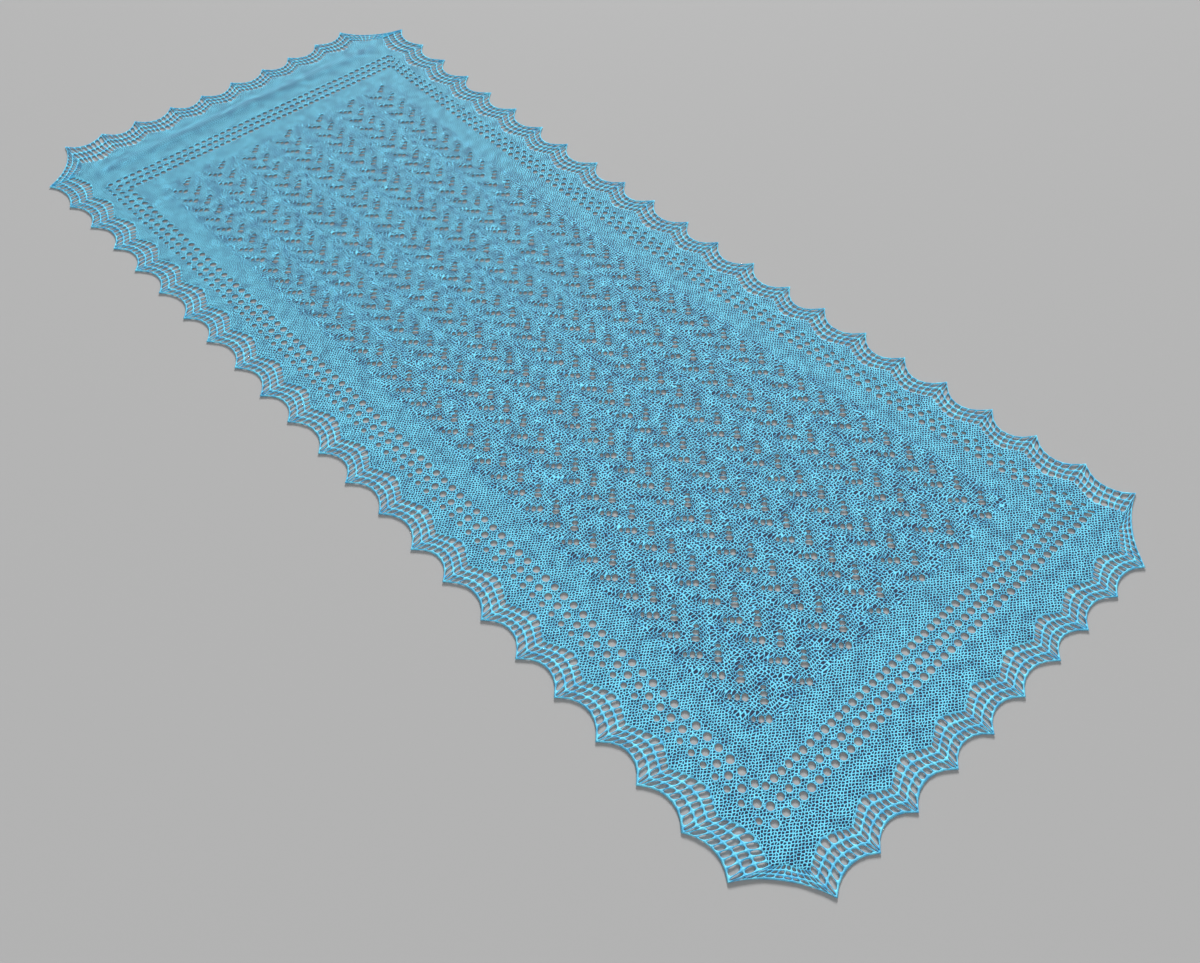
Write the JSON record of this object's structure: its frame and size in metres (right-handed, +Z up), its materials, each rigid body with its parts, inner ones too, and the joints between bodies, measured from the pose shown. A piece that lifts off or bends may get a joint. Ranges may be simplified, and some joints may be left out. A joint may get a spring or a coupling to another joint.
{
  "type": "knitted lace shawl",
  "caption": "Long rectangular knitted lace shawl laid flat, with an openwork panel, an eyelet border and a scalloped lace edging, worn round the shoulders.",
  "frame": {"origin": "on the underside, below the middle of the shawl's box, where it rests on a surface", "axes": "+X along the length towards the near end, +Y across the width towards the right side, +Z up through the cloth"},
  "size_m": [1.7116, 0.709, 0.0049],
  "materials": {
    "panel_knit": "fine turquoise lace-weight yarn in soft stocking stitch with worked eyelets",
    "border_knit": "fine turquoise lace-weight yarn in plain knit with rows of eyelets",
    "edging_lace": "open lace mesh of fine turquoise yarn with doubled strands at the points"
  },
  "bodies": {
    "root": {"centre_panel": "panel_knit", "border_far_end": "border_knit", "border_near_end": "border_knit", "border_left_side": "border_knit", "border_right_side": "border_knit", "edging_far_end": "edging_lace", "edging_near_end": "edging_lace", "edging_left_side": "edging_lace", "edging_right_side": "edging_lace"}
  },
  "joints": []
}
